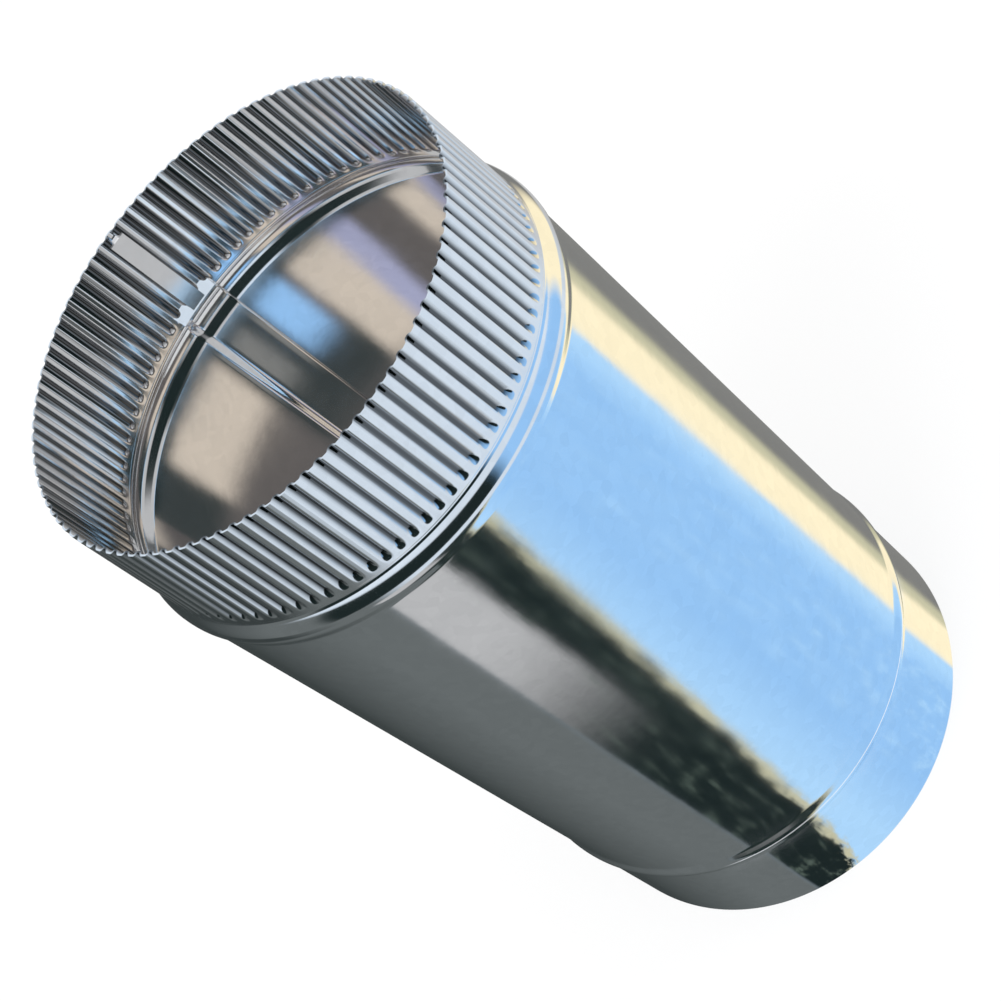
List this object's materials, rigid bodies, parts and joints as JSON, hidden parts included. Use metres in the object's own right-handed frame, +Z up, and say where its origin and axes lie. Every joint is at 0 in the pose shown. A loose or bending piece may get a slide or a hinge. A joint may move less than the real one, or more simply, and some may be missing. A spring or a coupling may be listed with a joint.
{
  "type": "duct connector",
  "caption": "Round galvanised sheet duct connector with a crimped end, a stop bead, a clamp bead near the plain end and a lock seam inside.",
  "frame": {"origin": "centre of the plain end's edge, on the duct's axis", "axes": "+Z up the duct's axis from the plain end to the crimped end, the lock seam near +Y"},
  "size_m": [0.1524, 0.1524, 0.285],
  "materials": {
    "galvanised_sheet": "bright galvanised"
  },
  "bodies": {
    "root": {"duct_body": "galvanised_sheet"}
  },
  "joints": []
}
